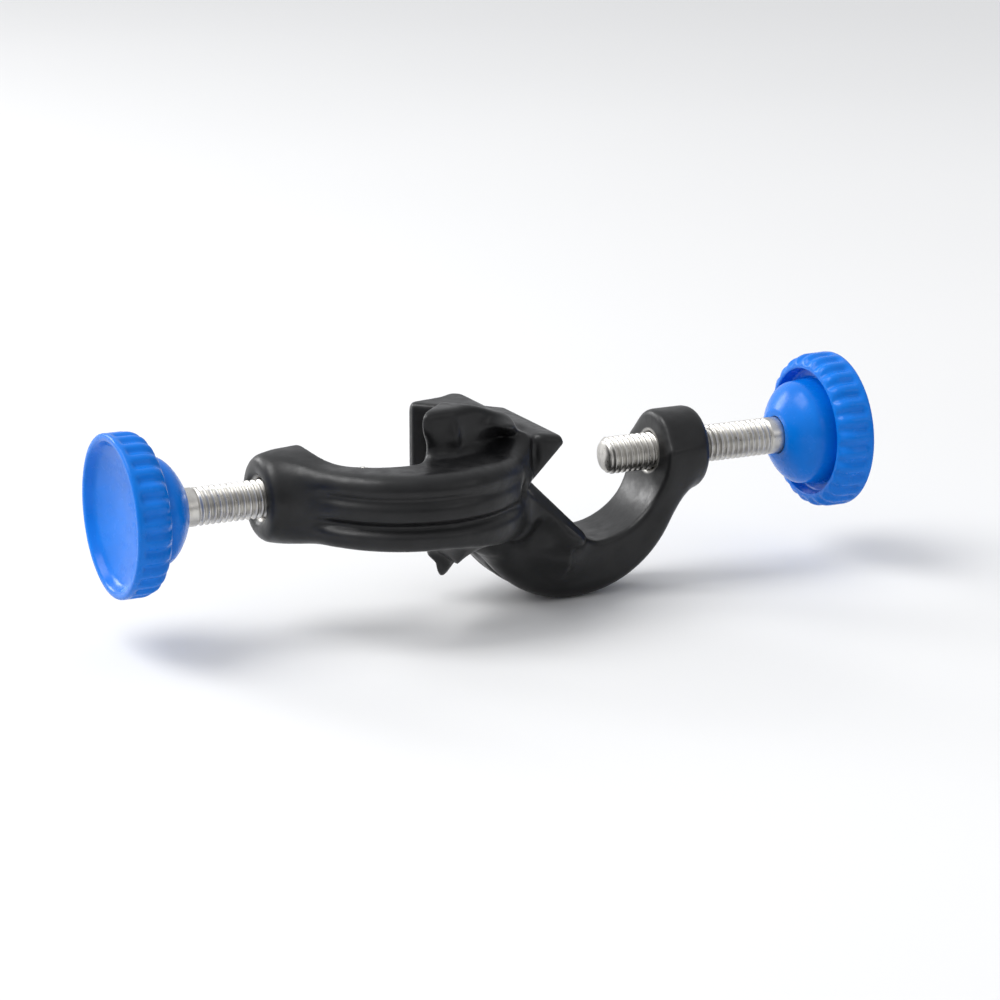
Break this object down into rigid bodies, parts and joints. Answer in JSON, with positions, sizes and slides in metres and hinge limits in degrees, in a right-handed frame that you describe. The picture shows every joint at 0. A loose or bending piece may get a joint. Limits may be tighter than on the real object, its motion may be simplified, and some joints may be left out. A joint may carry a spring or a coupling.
{
  "type": "right-angle boss head clamp holder",
  "caption": "Right-angle boss head: a black cast body with two V jaws set at 90 degrees, each closed by a steel thumbscrew with a fluted blue knob.",
  "frame": {"origin": "where the axis of an upright rod of 10 mm held in the left jaw crosses the common axis of the two screws", "axes": "+X along the screws from the left knob to the right knob, +Y along the rod held in the right jaw, away from the left jaw's arm, +Z along the rod held in the left jaw, away from the right jaw's arm"},
  "size_m": [0.105, 0.0291, 0.0291],
  "materials": {
    "black_enamel": "semi-gloss black enamel on a casting",
    "plated_steel": "bright plated, threaded",
    "blue_plastic": "gloss moulded plastic"
  },
  "bodies": {
    "casting": {"casting": "black_enamel"},
    "left_screw": {"left_screw": "plated_steel"},
    "left_knob": {"left_knob": "blue_plastic"},
    "right_screw": {"right_screw": "plated_steel"},
    "right_knob": {"right_knob": "blue_plastic"}
  },
  "joints": [
    {"name": "left_screw_travel", "type": "slide", "parent": "casting", "child": "left_screw", "axis": [1, 0, 0], "range_m": [-0.0092, 0.0097]},
    {"name": "left_knob_turn", "type": "hinge", "parent": "left_screw", "child": "left_knob", "pos_m": [-0.036, 0, 0], "axis": [1, 0, 0], "range_deg": [-4150, 4375]},
    {"name": "right_screw_travel", "type": "slide", "parent": "casting", "child": "right_screw", "axis": [-1, 0, 0], "range_m": [-0.00678, 0.0121]},
    {"name": "right_knob_turn", "type": "hinge", "parent": "right_screw", "child": "right_knob", "pos_m": [0.0596, 0, 0], "axis": [-1, 0, 0], "range_deg": [-3060, 5455]}
  ],
  "couplings": [
    {"joint": "left_knob_turn", "follows": "left_screw_travel", "rad_per_m": 7854},
    {"joint": "right_knob_turn", "follows": "right_screw_travel", "rad_per_m": 7854}
  ]
}
